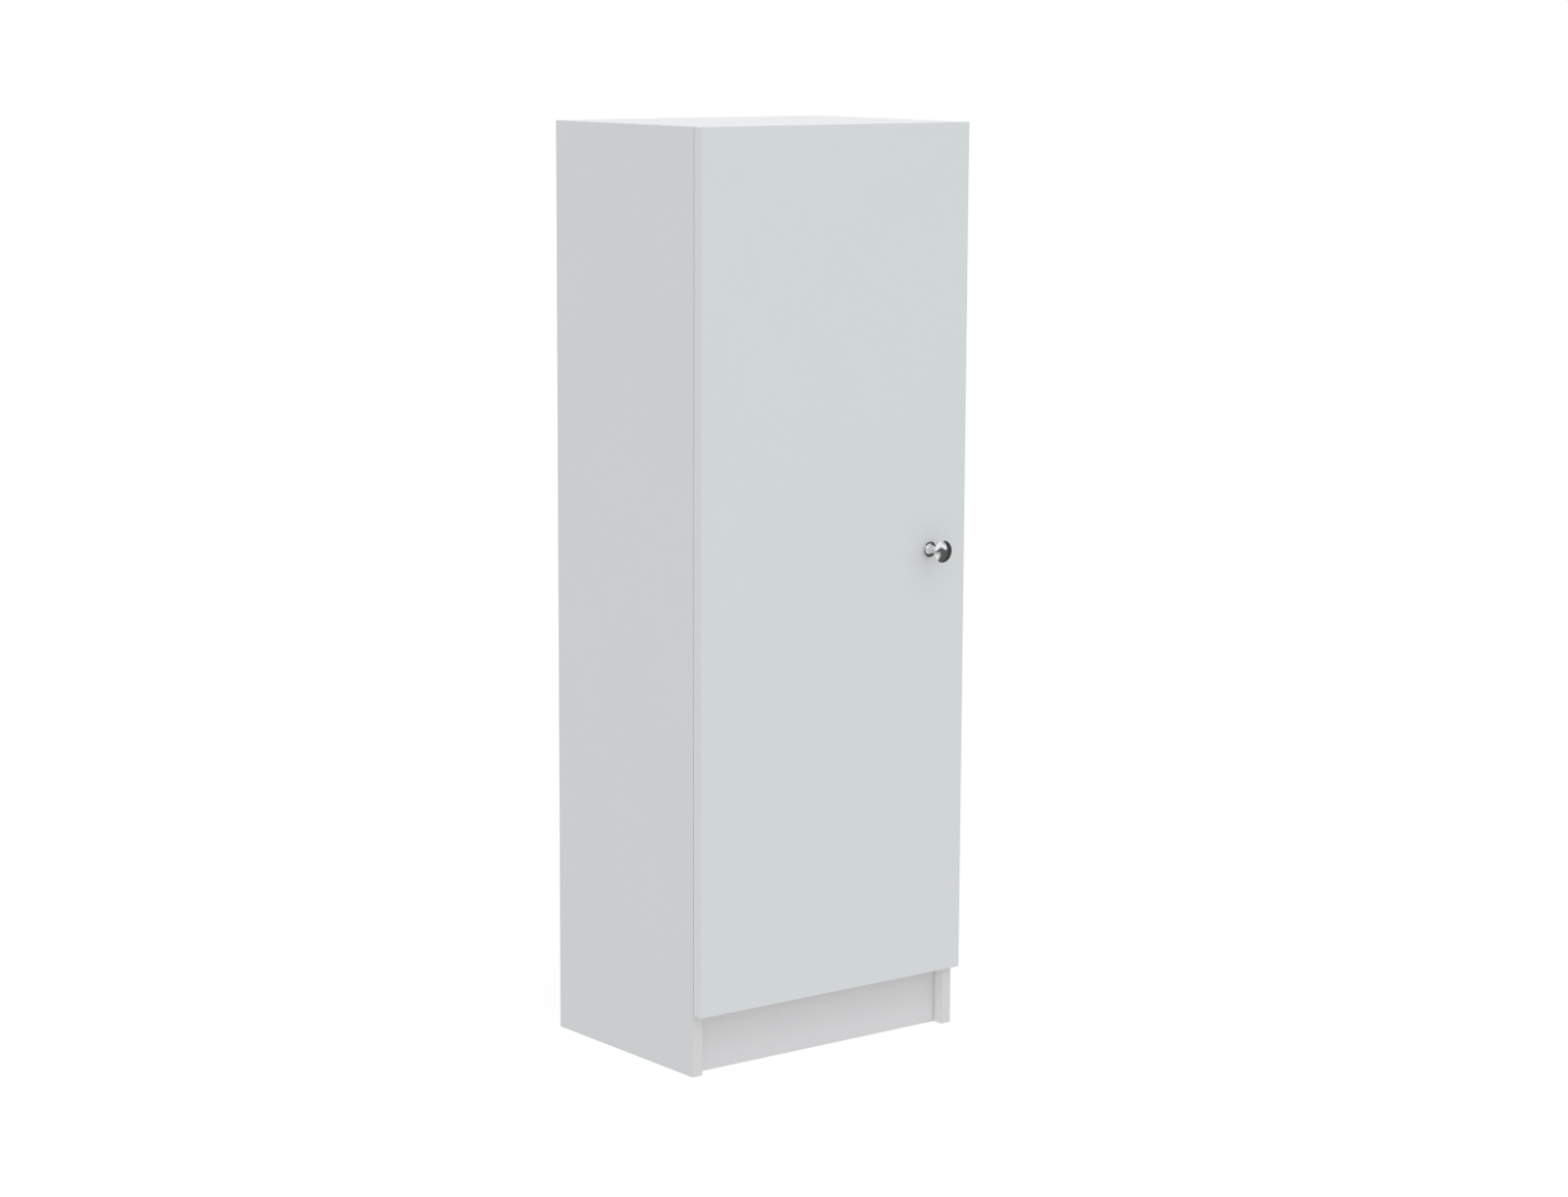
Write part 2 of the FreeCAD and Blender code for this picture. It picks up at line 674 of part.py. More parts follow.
def hinge_cup(label, z):
    b = new_body(label)
    cx = CUP_X
    yf = -D["door_gap"].v                       # door's inner face
    yb = yf - D["cup_deep"].v                   # under the cup's floor
    pad_y(b, lambda s: circle(s, cx, 0, D["cup_rad"]), yb, yf)
    # flange with the two screw wings, trimmed along the side panel
    r = 19.5
    z1 = math.sqrt(r * r - (cx - 0.7) ** 2)
    z2 = math.sqrt(r * r - (10.0 - cx) ** 2)
    z3 = math.sqrt(r * r - (22.0 - cx) ** 2)
    pad_y(b, lambda s: outline(s, [
        (0.7, -z1), (10.0, -z2, cx, -r), (10.0, -24.0), (22.0, -24.0, 16.0, -30.0),
        (22.0, -z3), (22.0, z3, cx + r, 0.0), (22.0, 24.0),
        (10.0, 24.0, 16.0, 30.0), (10.0, z2), (0.7, z1, cx, r)]),
        yf, yf + D["flange_thk"].v)
    cut_y(b, lambda s: circle(s, cx, 0, D["cup_rad"] - D["cup_wall"]),
          yb + D["cup_floor"].v, yf + 2.0)
    for zz in (4.6, -6.2):                      # bearing cheeks for the pivots
        pad_z(b, lambda s: outline(s, [(-9.4, -12.6), (1.5, -12.6), (1.5, -4.6),
                                       (-0.2, -3.0), (-9.4, -3.0)]), zz, zz + 1.6)
    cut_z(b, lambda s: circle(s, PB[0], PB[1], D["pivot_snug_rad"]), -7.0, 7.0)
    cut_z(b, lambda s: outline(s, [
        (-5.3, -9.8), (-4.05, -11.05, -4.93, -10.68), (-1.45, -11.05),
        (-0.2, -9.8, -0.57, -10.68), (-0.2, -8.35), (-1.45, -7.1, -0.57, -7.47),
        (-4.05, -7.1), (-5.3, -8.35, -4.93, -7.47)]), -7.0, 7.0)
    cut_y(b, lambda s: [circle(s, 16.0, k * D["cup_screw_half"], 1.7)
                        for k in (-1, 1)], yf - 1.0, yf + 2.0)
    place(b, IN_L, FY, z)
    return node(b, label)


def hinge_outer_link(label, z):
    b = new_body(label)
    line = [on_link(*p) for p in ((0, 0), (1.9, -2.9), (4.3, -5.6), (7.0, -4.6),
                                  (9.0, -4.0), (14.0, -3.0), (24.0, -1.4),
                                  (30.91, 0))]
    half = [1.0, 1.0, 1.0, 1.0, 1.0, 1.6, 1.7, 1.9]
    web = [on_link(*p) for p in ((12.6, -4.8), (24.0, -3.0), (24.0, -2.0),
                                 (12.6, -3.8))]
    pad_z(b, lambda s: outline(s, web), -4.2, 4.2)
    for z0 in (3.0, -4.2):
        pad_z(b, lambda s: outline(s, ribbon(line, half)), z0, z0 + 1.2)
        pad_z(b, lambda s: circle(s, PA[0], PA[1], 2.7), z0, z0 + 1.2)
        pad_z(b, lambda s: circle(s, PB[0], PB[1], 2.2), z0, z0 + 1.2)
    cut_z(b, lambda s: [circle(s, PA[0], PA[1], D["pivot_hole_rad"]),
                        circle(s, PB[0], PB[1], D["pivot_hole_rad"])], -5.0, 5.0)
    place(b, IN_L, FY, z)
    return node(b, label)


def hinge_inner_link(label, z):
    b = new_body(label)
    line = [PC, (9.0, -10.2), (3.0, -10.35), PD]
    pad_z(b, lambda s: outline(s, ribbon(line, [0.9, 0.8, 0.8, 0.9])), -2.6, 2.6)
    pad_z(b, lambda s: circle(s, PC[0], PC[1], 2.2), -2.6, 2.6)
    pad_z(b, lambda s: circle(s, PD[0], PD[1], 1.85), -2.6, 2.6)
    # its cup-side pivot is a stub on each side, running in the cup's cheeks
    pad_z(b, lambda s: circle(s, PD[0], PD[1], 1.15), -6.0, 6.0)
    cut_z(b, lambda s: circle(s, PC[0], PC[1], D["pivot_hole_rad"]), -3.0, 3.0)
    place(b, IN_L, FY, z)
    return node(b, label)


def hinge_arm(label, z):
    b = new_body(label)
    shell = [(20.6, 58.0), (20.6, 20.0), (19.5, 6.0), (20.7, 5.9), (21.8, 19.9),
             (21.8, 58.0)]
    pad_z(b, lambda s: outline(s, shell), -6.2, 6.2)
    cheek = [(11.6, -9.4), (11.2, -5.0), (12.4, 3.0), (12.6, 12.0), (8.2, 22.0),
             (7.4, 26.0), (7.4, 58.0), (21.8, 58.0), (21.8, 19.9), (20.7, 5.9),
             (18.4, -7.5), (14.7, -11.9, 17.3, -11.0)]
    for z0 in (5.0, -6.2):
        pad_z(b, lambda s: outline(s, cheek), z0, z0 + 1.2)
    cut_z(b, lambda s: [circle(s, PA[0], PA[1], D["pivot_snug_rad"]),
                        circle(s, PC[0], PC[1], D["pivot_snug_rad"])], -7.0, 7.0)
    cut_x(b, lambda s: [circle(s, 29.0, 0, 2.5), circle(s, 50.0, 0, 2.5)],
          20.0, 23.0)
    place(b, IN_L, FY, z)
    return node(b, label)


def hinge_plate(label, z):
    b = new_body(label)
    pad_x(b, lambda s: outline(s, [(22.0, -9.0), (62.0, -9.0), (62.0, 9.0),
                                   (22.0, 9.0)]), 0, 2.4)
    pad_x(b, lambda s: outline(s, [(30.0, -16.0), (44.0, -16.0, 37.0, -23.0),
                                   (44.0, 16.0), (30.0, 16.0, 37.0, 23.0)]),
          0, 2.4)
    pad_x(b, lambda s: outline(s, [(24.0, -4.7), (59.0, -4.7), (59.0, 4.7),
                                   (24.0, 4.7)]), 2.0, 13.0)
    cut_x(b, lambda s: circle(s, 50.0, 0, 2.5), 7.5, 14.0)
    cut_x(b, lambda s: [circle(s, D["plate_row"], k * D["plate_half"], 3.05)
                        for k in (-1, 1)], -1.0, 3.0)
    place(b, IN_L, FY, z)
    return node(b, label)


for name, z in HINGES:
    hinge_plate("hinge_mounting_plate_" + name, z)
for name, z in HINGES:
    hinge_arm("hinge_arm_" + name, z)
for name, z in HINGES:
    hinge_outer_link("hinge_outer_link_" + name, z)
for name, z in HINGES:
    hinge_inner_link("hinge_inner_link_" + name, z)
for name, z in HINGES:
    hinge_cup("hinge_cup_" + name, z)

pr = D["pivot_rad"].v
arm_pin = turned("arm_pin_master",
                 [(0, -6.8), (1.9, -6.8), (1.9, -6.25), (pr, -6.25), (pr, 6.25),
                  (1.9, 6.25), (1.9, 6.8), (0, 6.8)])
cup_pin = turned("cup_pin_master", [(0, -6.1), (pr, -6.1), (pr, 6.1), (0, 6.1)])
group("hinge_arm_pins", arm_pin,
      [(IN_L + p[0], FY + p[1], z, UP) for _, z in HINGES for p in (PA, PC)])
group("hinge_cup_pins", cup_pin,
      [(IN_L + PB[0], FY + PB[1], z, UP) for _, z in HINGES])


def cross(body, arm, wide, z0, z1):
    """Cross recess in a screw's head, cut down from z1 to z0."""
    cut_z(body, lambda s: outline(s, [
        (-arm, -wide), (-wide, -wide), (-wide, -arm), (wide, -arm), (wide, -wide),
        (arm, -wide), (arm, wide), (wide, wide), (wide, arm), (-wide, arm),
        (-wide, wide), (-arm, wide)]), z0, z1)


# screw masters: z = 0 under the head, shank towards -z
csr = D["cup_screw_rad"].v
cup_screw = turned("cup_screw_master",
                   [(0, -11.4), (csr, -9.4), (csr, 0), (3.1, 0), (3.0, 0.7),
                    dome(3.0, 0.7, 1.3)])
cross(cup_screw, 1.7, 0.4, 0.5, 1.5)
psr = D["plate_screw_rad"].v
plate_screw = turned("plate_screw_master",
                     [(0, -13.2), (1.8, -13.2), (psr, -11.8), (psr, 0), (4.1, 0),
                      (4.0, 1.0), dome(4.0, 1.0, 1.9)])
cross(plate_screw, 2.4, 0.5, 0.7, 2.1)
arm_screw = turned("arm_screw_master",
                   [(0, -13.6), (2.0, -13.6), (2.45, -13.1), (2.45, 0), (4.0, 0),
                    (4.0, 1.6), (3.4, 2.2), (0, 2.2)])
cross(arm_screw, 2.4, 0.5, 1.0, 2.4)
adjust_screw = turned("adjust_screw_master",
                      [(0, -8.8), (2.0, -8.8), (2.45, -8.3), (2.45, 0.3),
                       (2.1, 0.7), (0, 0.7)])
cross(adjust_screw, 1.6, 0.45, -0.9, 0.9)
group("hinge_cup_screws", cup_screw,
      [(IN_L + 16.0, FY - D["door_gap"] + D["flange_thk"],
        z + D["cup_screw_half"] * k, TO_PY) for _, z in HINGES for k in (-1, 1)])
group("mounting_plate_screws", plate_screw,
      [(IN_L + 2.4, FY + D["plate_row"], z + D["plate_half"] * k, TO_PX)
       for _, z in HINGES for k in (-1, 1)])
group("hinge_arm_screws", arm_screw,
      [(IN_L + 21.8, FY + 50.0, z, TO_PX) for _, z in HINGES])
group("hinge_adjusting_screws", adjust_screw,
      [(IN_L + 21.8, FY + 29.0, z, TO_PX) for _, z in HINGES])

# ------------------------------------------------------------- knob
# turned knob: foot ring, waisted neck, flaring head with a shallow dome
kl = D["knob_long"].v
knob = turned("knob", [
    (0, 0), (10.2, 0), (10.7, 0.25), (11.0, 0.7), (11.0, 2.1),
    (10.65, 2.5, 10.9, 2.39), (7.6, 2.63),
    (6.6, 19.0, 5.0, 10.5), (14.3, kl - 6.9, 9.0, 25.0),
    (14.5, kl - 4.5, 15.3, kl - 5.7), dome(14.5, kl - 4.5, kl)])
cut_z(knob, lambda s: circle(s, 0, 0, D["knob_thread_rad"]), -1.0, 12.0)
KX, KZ = HALF - D["knob_in"], D["knob_up"]
place(knob, KX, DOOR_Y0, KZ, TO_NY)
node(knob, "knob")
knob_screw = turned("knob_screw",
                    [(0, -25.6), (1.5, -25.6), (D["knob_bolt_rad"].v, -25.1),
                     (D["knob_bolt_rad"].v, 0), (3.9, 0), (3.8, 1.5),
                     dome(3.8, 1.5, 2.4)])
cross(knob_screw, 2.4, 0.5, 1.0, 2.6)
place(knob_screw, KX, FY - D["door_gap"], KZ, TO_PY)
node(knob_screw, "knob_screw")

# soft stops between the door and the right side panel
bumps = []
for z in (PH + 30.0, H - 30.0):
    c = doc.addObject("Part::Cylinder", "bumper")
    c.Radius = 4.0
    c.Height = 0.8
    place(c, HALF - T / 2, FY - D["door_gap"], z, TO_PY)
    bumps.append(c)
bands("door_bumpers", bumps)

# ------------------------------------------------------------- checks, export
doc.recompute()
bad = [o.Name for o in doc.Objects
       if any(st in ("Invalid", "Error") for st in o.State)]
if bad:
    raise RuntimeError("failed features: %s" % bad)
box = None
for n in nodes:
    shape = n.Shape
    if shape.isNull() or not shape.isValid() or not shape.Solids:
        raise RuntimeError("bad shape: " + n.Label)
    shape.exportStep("parts/%s.step" % n.Label)
    bb = shape.BoundBox
    box = bb if box is None else box.united(bb)
    print("%-30s solids %2d  vol %10.1f  x %.2f..%.2f y %.2f..%.2f z %.2f..%.2f"
          % (n.Label, len(shape.Solids), shape.Volume, bb.XMin, bb.XMax,
             bb.YMin, bb.YMax, bb.ZMin, bb.ZMax))
print("nodes", len(nodes), "box", box)
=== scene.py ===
import math

import bpy
from mathutils import Matrix, Vector


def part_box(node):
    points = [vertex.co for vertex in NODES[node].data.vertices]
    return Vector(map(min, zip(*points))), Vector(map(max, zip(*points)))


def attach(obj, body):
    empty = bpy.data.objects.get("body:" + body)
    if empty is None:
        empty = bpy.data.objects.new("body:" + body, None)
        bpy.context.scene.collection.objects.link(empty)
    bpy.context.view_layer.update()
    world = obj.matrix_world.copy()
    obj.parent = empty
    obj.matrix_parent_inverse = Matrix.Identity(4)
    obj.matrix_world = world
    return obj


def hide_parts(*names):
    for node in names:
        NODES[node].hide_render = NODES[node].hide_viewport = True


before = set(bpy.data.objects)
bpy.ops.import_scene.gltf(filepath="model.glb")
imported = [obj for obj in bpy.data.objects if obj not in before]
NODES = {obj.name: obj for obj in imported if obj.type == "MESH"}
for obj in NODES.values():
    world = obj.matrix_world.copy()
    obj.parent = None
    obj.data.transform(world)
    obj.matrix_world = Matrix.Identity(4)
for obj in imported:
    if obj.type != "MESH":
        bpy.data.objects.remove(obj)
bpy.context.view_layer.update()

scene = bpy.context.scene


# ---------------------------------------------------------------- node graphs
class Graph:
    """A small helper that adds and links shader nodes."""

    def __init__(self, tree):
        self.tree = tree
        self.nodes = tree.nodes
        self.x = 0

    def add(self, kind, inputs=None, **props):
        n = self.nodes.new(kind)
        self.x += 30
        n.location = (self.x * 4, -(self.x % 7) * 90)
        for key, value in props.items():
            setattr(n, key, value)
        for key, value in (inputs or {}).items():
            self.feed(n.inputs[key], value)
        return n

    def feed(self, socket, value):
        if isinstance(value, bpy.types.NodeSocket):
            self.tree.links.new(value, socket)
        elif isinstance(value, (tuple, list)) and len(value) == 3 and \
                socket.type == "RGBA":
            socket.default_value = (*value, 1.0)
        else:
            socket.default_value = value

    def math(self, op, a, b=0.0, c=0.0, clamp=False):
        n = self.add("ShaderNodeMath", operation=op, use_clamp=clamp)
        for i, v in enumerate((a, b, c)):
            if i < len(n.inputs):
                self.feed(n.inputs[i], v)
        return n.outputs[0]

    def vmath(self, op, a, b=None, scale=None):
        n = self.add("ShaderNodeVectorMath", operation=op)
        self.feed(n.inputs[0], a)
        if b is not None:
            self.feed(n.inputs[1], b)
        if scale is not None:
            self.feed(n.inputs["Scale"], scale)
        return n.outputs["Value"] if op in ("DOT_PRODUCT", "LENGTH", "DISTANCE") \
            else n.outputs["Vector"]

    def mix(self, fac, a, b):
        n = self.add("ShaderNodeMix", data_type="RGBA")
        self.feed(n.inputs["Factor"], fac)
        self.feed(n.inputs[6], a)
        self.feed(n.inputs[7], b)
        return n.outputs[2]

    def scaled(self, colour, fac):
        """colour times a number near 1."""
        n = self.add("ShaderNodeVectorMath", operation="SCALE")
        self.feed(n.inputs[0], colour)
        self.feed(n.inputs["Scale"], fac)
        return n.outputs["Vector"]

    def ramp(self, fac, *stops):
        n = self.add("ShaderNodeValToRGB")
        el = n.color_ramp.elements
        while len(el) < len(stops):
            el.new(0.5)
        for e, (pos, col) in zip(el, stops):
            e.position = pos
            e.color = (*col, 1.0) if isinstance(col, (tuple, list)) else \
                (col, col, col, 1.0)
        self.feed(n.inputs["Fac"], fac)
        return n.outputs["Color"]

    def span(self, value, a, b, c=0.0, d=1.0, smooth=True):
        n = self.add("ShaderNodeMapRange",
                     interpolation_type="SMOOTHSTEP" if smooth else "LINEAR")
        for key, v in (("Value", value), ("From Min", a), ("From Max", b),
                       ("To Min", c), ("To Max", d)):
            self.feed(n.inputs[key], v)
        return n.outputs["Result"]

    def noise(self, vec, scale, detail=2.0, rough=0.5, distort=0.0):
        n = self.add("ShaderNodeTexNoise", {"Scale": scale, "Detail": detail,
                                            "Roughness": rough,
                                            "Distortion": distort})
        self.feed(n.inputs["Vector"], vec)
        return n.outputs["Fac"]

    def voronoi(self, vec, scale, feature="F1", out="Distance", rand=1.0):
        n = self.add("ShaderNodeTexVoronoi", {"Scale": scale, "Randomness": rand},
                     feature=feature)
        self.feed(n.inputs["Vector"], vec)
        return n.outputs[out]

    def bump(self, height, distance, strength=1.0, normal=None):
        n = self.add("ShaderNodeBump", {"Strength": strength,
                                        "Distance": distance, "Height": height})
        if normal is not None:
            self.feed(n.inputs["Normal"], normal)
        return n.outputs["Normal"]

    def place(self):
        """Object-space position, which is the row frame at rest."""
        t = self.add("ShaderNodeTexCoord")
        s = self.add("ShaderNodeSeparateXYZ", {"Vector": t.outputs["Object"]})
        return t.outputs["Object"], s.outputs["X"], s.outputs["Y"], s.outputs["Z"]

    def stretched(self, vec, sx, sy, sz):
        n = self.add("ShaderNodeVectorMath", operation="MULTIPLY")
        self.feed(n.inputs[0], vec)
        n.inputs[1].default_value = (sx, sy, sz)
        return n.outputs["Vector"]


def new_material(name):
    m = bpy.data.materials.new(name)
    m.use_nodes = True
    g = Graph(m.node_tree)
    m.node_tree.nodes.clear()
    out = g.add("ShaderNodeOutputMaterial")
    p = g.add("ShaderNodeBsdfPrincipled")
    m.node_tree.links.new(p.outputs["BSDF"], out.inputs["Surface"])
    return m, g, p


# ---------------------------------------------------------------- colours
WHITE = (0.771, 0.8005, 0.8015)      # melamine facing, cool white
BAND = (0.797, 0.807, 0.813)         # edge band, a shade warmer
CHIP_DARK, CHIP_MID, CHIP_PALE = (0.30, 0.19, 0.10), (0.50, 0.35, 0.20), \
    (0.68, 0.53, 0.35)


def chipboard(g, vec, thick):
    """Colour, roughness and height of a cut particle-board face.  thick is 0 at
    the board's faces and 1 in the middle of its thickness."""
    flakes = g.voronoi(vec, 620.0, out="Color")
    tone = g.add("ShaderNodeSeparateColor", {"Color": flakes}).outputs[0]
    coarse = g.noise(vec, 300.0, 5.0, 0.65, 0.6)
    fine = g.noise(vec, 1900.0, 3.0, 0.6)
    body = g.math("MULTIPLY_ADD", coarse, 0.55,
                  g.math("MULTIPLY", tone, 0.45))
    # surface layers are of finer dust than the middle
    body = g.add("ShaderNodeMix", {"Factor": thick, "A": fine, "B": body},
                 data_type="FLOAT").outputs[0]
    col = g.ramp(body, (0.22, CHIP_DARK), (0.42, CHIP_MID), (0.58, CHIP_PALE),
                 (0.72, (0.76, 0.62, 0.43)))
    pits = g.span(g.noise(vec, 820.0, 2.0, 0.5), 0.30, 0.42)
    col = g.mix(pits, (0.16, 0.10, 0.055), col)
    height = g.math("MULTIPLY_ADD", pits, 0.7, g.math("MULTIPLY", body, 0.5))
    return col, height


def melamine(name, axis, low, high, glue=(), wear=None, white=WHITE,
             shade=None, patch=None):
    """Melamine-faced board.  axis and low..high give its thickness, in metres;
    glue lists (axis, place) planes where an edge band is glued on; wear says
    where hands or floor dirt have been; shade multiplies the facing's white
    with painted shade; patch lays painted light, another white, over a part
    of the facing."""
    m, g, p = new_material(name)
    vec, x, y, z = g.place()
    at = {"x": x, "y": y, "z": z}
    t = at[axis]
    depth = g.math("MINIMUM", g.math("SUBTRACT", t, low),
                   g.math("SUBTRACT", high, t))
    core = g.span(depth, 0.00028, 0.00040)
    thick = g.span(depth, 0.0012, 0.0042)

    # facing: nearly even white with a faint cloud, and pearl embossing
    cloud = g.noise(vec, 5.5, 3.0, 0.55)
    fleck = g.noise(vec, 240.0, 2.0, 0.5)
    tone = g.math("MULTIPLY_ADD", cloud, 0.016,
                  g.math("MULTIPLY_ADD", fleck, 0.012, 0.986))
    # painted shade: shade darkens the facing where less light reaches it
    if shade is not None:
        tone = g.math("MULTIPLY", tone, shade(g, x, y, z))
    face = g.scaled(white, tone)
    # painted light: patch lays a lighter white, with painted shade in its corner, over part
    # of the facing
    if patch is not None:
        part, other = patch(g, x, y, z)
        face = g.mix(part, face, other)
    rough = g.math("MULTIPLY_ADD", g.noise(vec, 38.0, 3.0, 0.6), 0.12, 0.36)
    if wear is not None:
        amount = wear(g, vec, x, y, z)
        face = g.mix(amount, face, (0.50, 0.485, 0.45))
        rough = g.math("MULTIPLY_ADD", amount, 0.25, rough)
    for ax, place in glue:
        line = g.span(g.math("ABSOLUTE", g.math("SUBTRACT", at[ax], place)),
                      0.00006, 0.00016, 1.0, 0.0)
        face = g.mix(g.math("MULTIPLY", line, 0.45), face, (0.42, 0.40, 0.36))

    chips, chip_height = chipboard(g, vec, thick)
    col = g.mix(core, face, chips)
    g.feed(p.inputs["Base Color"], col)
    g.feed(p.inputs["Roughness"], g.add("ShaderNodeMix", {
        "Factor": core, "A": rough, "B": 0.86}, data_type="FLOAT").outputs[0])
    p.inputs["IOR"].default_value = 1.5
    p.inputs["Specular IOR Level"].default_value = 0.45

    pearl = g.math("ADD", g.noise(vec, 1500.0, 2.0, 0.55),
                   g.math("MULTIPLY", g.noise(vec, 420.0, 1.0, 0.5), 0.8))
    pearl = g.bump(pearl, 0.000035, 0.5)
    wavy = g.bump(g.noise(vec, 26.0, 1.0, 0.5), 0.00022, 0.5, pearl)
    rough_bump = g.bump(chip_height, 0.00045, 0.9)
    n = g.add("ShaderNodeMix", {"Factor": core}, data_type="VECTOR")
    g.feed(n.inputs[4], wavy)
    g.feed(n.inputs[5], rough_bump)
    g.feed(p.inputs["Normal"], n.outputs[1])
    return m


def edge_band(name, along, base=BAND):
    """Edge band: smoother than the facing, with fine drawn lines along it."""
    m, g, p = new_material(name)
    vec, x, y, z = g.place()
    s = {"x": (18, 900, 900), "y": (900, 18, 900), "z": (900, 900, 18)}[along]
    drawn = g.noise(g.stretched(vec, *s), 1.0, 3.0, 0.55)
    cloud = g.noise(vec, 9.0, 2.0, 0.5)
    tone = g.math("MULTIPLY_ADD", drawn, 0.014,
                  g.math("MULTIPLY_ADD", cloud, 0.012, 0.987))
    g.feed(p.inputs["Base Color"], g.scaled(base, tone))
    g.feed(p.inputs["Roughness"], g.math("MULTIPLY_ADD", drawn, 0.10, 0.27))
    p.inputs["IOR"].default_value = 1.5
    p.inputs["Specular IOR Level"].default_value = 0.5
    soft = g.bump(g.noise(vec, 160.0, 2.0, 0.5), 0.00006, 0.4)
    g.feed(p.inputs["Normal"], g.bump(drawn, 0.00002, 0.6, soft))
    return m


def hardboard(name, front):
    """Thin back: white lacquer inside, pressed brown fibre with a screen mark
    behind."""
    m, g, p = new_material(name)
    vec, x, y, z = g.place()
    bare = g.span(g.math("SUBTRACT", y, front), 0.00012, 0.00022)
    fibre = g.noise(g.stretched(vec, 260, 260, 900), 1.0, 5.0, 0.7, 1.2)
    strands = g.noise(g.stretched(vec, 1400, 1400, 160), 1.0, 4.0, 0.65, 0.8)
    cloud = g.noise(vec, 14.0, 4.0, 0.6)
    body = g.math("MULTIPLY_ADD", fibre, 0.5, g.math(
        "MULTIPLY_ADD", strands, 0.32, g.math("MULTIPLY", cloud, 0.22)))
    brown = g.ramp(body, (0.30, (0.115, 0.066, 0.034)),
                   (0.50, (0.235, 0.145, 0.080)), (0.70, (0.370, 0.245, 0.145)))
    # screen mark: a fine square weave pressed into the back
    k = 2 * math.pi / 0.0021
    wx = g.math("SINE", g.math("MULTIPLY", x, k))
    wz = g.math("SINE", g.math("MULTIPLY", z, k))
    screen = g.math("MAXIMUM", wx, wz)
    worn = g.noise(vec, 55.0, 3.0, 0.6)
    screen_h = g.math("MULTIPLY", g.math("MULTIPLY_ADD", screen, 0.5, 0.5),
                      g.span(worn, 0.3, 0.6, 0.55, 1.0))
    brown = g.mix(g.math("MULTIPLY", screen_h, 0.34), brown,
                  (0.42, 0.285, 0.175))
    lacquer_tone = g.math("MULTIPLY_ADD", g.noise(vec, 34.0, 4.0, 0.6), 0.03,
                          0.955)
    lacquer = g.scaled((0.765, 0.790, 0.792), lacquer_tone)
    g.feed(p.inputs["Base Color"], g.mix(bare, lacquer, brown))
    g.feed(p.inputs["Roughness"], g.add("ShaderNodeMix", {
        "Factor": bare,
        "A": g.math("MULTIPLY_ADD", fibre, 0.16, 0.40),
        "B": g.math("MULTIPLY_ADD", fibre, 0.15, 0.76)},
        data_type="FLOAT").outputs[0])
    p.inputs["Specular IOR Level"].default_value = 0.4
    inside = g.bump(g.math("MULTIPLY_ADD", fibre, 0.7,
                           g.noise(vec, 90.0, 2.0, 0.5)), 0.00010, 0.45)
    outside = g.bump(g.math("MULTIPLY_ADD", screen_h, 0.8,
                            g.math("MULTIPLY", body, 0.9)), 0.00035, 0.8)
    n = g.add("ShaderNodeMix", {"Factor": bare}, data_type="VECTOR")
    g.feed(n.inputs[4], inside)
    g.feed(n.inputs[5], outside)
    g.feed(p.inputs["Normal"], n.outputs[1])
    return m


def beech(name):
    m, g, p = new_material(name)
    vec, x, y, z = g.place()
    grain = g.noise(g.stretched(vec, 60, 900, 900), 1.0, 5.0, 0.6, 0.7)
    rays = g.noise(g.stretched(vec, 260, 2600, 2600), 1.0, 2.0, 0.5)
    dash = g.span(rays, 0.60, 0.68)
    col = g.ramp(grain, (0.30, (0.47, 0.29, 0.15)), (0.52, (0.62, 0.42, 0.245)),
                 (0.72, (0.73, 0.54, 0.34)))
    col = g.mix(g.math("MULTIPLY", dash, 0.5), col, (0.36, 0.20, 0.10))
    g.feed(p.inputs["Base Color"], col)
    g.feed(p.inputs["Roughness"], g.math("MULTIPLY_ADD", grain, 0.2, 0.55))
    p.inputs["Specular IOR Level"].default_value = 0.35
    g.feed(p.inputs["Normal"], g.bump(
        g.math("MULTIPLY_ADD", grain, 0.8, g.math("MULTIPLY", dash, -0.4)),
        0.00018, 0.7))
    return m


def metal(name, colour, rough, spread, grain, depth, stain=None, edge=0.0,
          lines=None):
    """Metal: colour, middle roughness and its spread, grain (scale, detail) of
    the surface and its depth; stain tints in patches; lines is an axis that
    the finish was brushed along."""
    m, g, p = new_material(name)
    vec, x, y, z = g.place()
    patch = g.noise(vec, 130.0, 4.0, 0.6, 0.3)
    fine = g.noise(vec, grain[0], grain[1], 0.6)
    if lines:
        s = {"x": (40, 5200, 5200), "y": (5200, 40, 5200),
             "z": (5200, 5200, 40)}[lines]
        brushed = g.noise(g.stretched(vec, *s), 1.0, 3.0, 0.6)
        fine = g.math("MULTIPLY_ADD", brushed, 0.7, g.math("MULTIPLY", fine, 0.3))
    tone = g.math("MULTIPLY_ADD", patch, 0.10,
                  g.math("MULTIPLY_ADD", fine, 0.06, 0.92))
    col = g.scaled(colour, tone)
    if stain is not None:
        col = g.mix(g.span(g.noise(vec, 75.0, 3.0, 0.6, 0.5), 0.42, 0.68, 0.0,
                           stain[1]), col, stain[0])
    g.feed(p.inputs["Base Color"], col)
    p.inputs["Metallic"].default_value = 1.0
    scuffs = g.span(g.noise(g.stretched(vec, 900, 900, 210), 1.0, 3.0, 0.7, 1.5),
                    0.60, 0.72, 0.0, 0.10)
    g.feed(p.inputs["Roughness"], g.math("ADD", g.math(
        "MULTIPLY_ADD", patch, spread, rough - spread * 0.5), scuffs))
    normal = None
    if edge:
        normal = g.add("ShaderNodeBevel", {"Radius": edge}, samples=4
                       ).outputs["Normal"]
    g.feed(p.inputs["Normal"], g.bump(fine, depth, 0.6, normal))
    return m


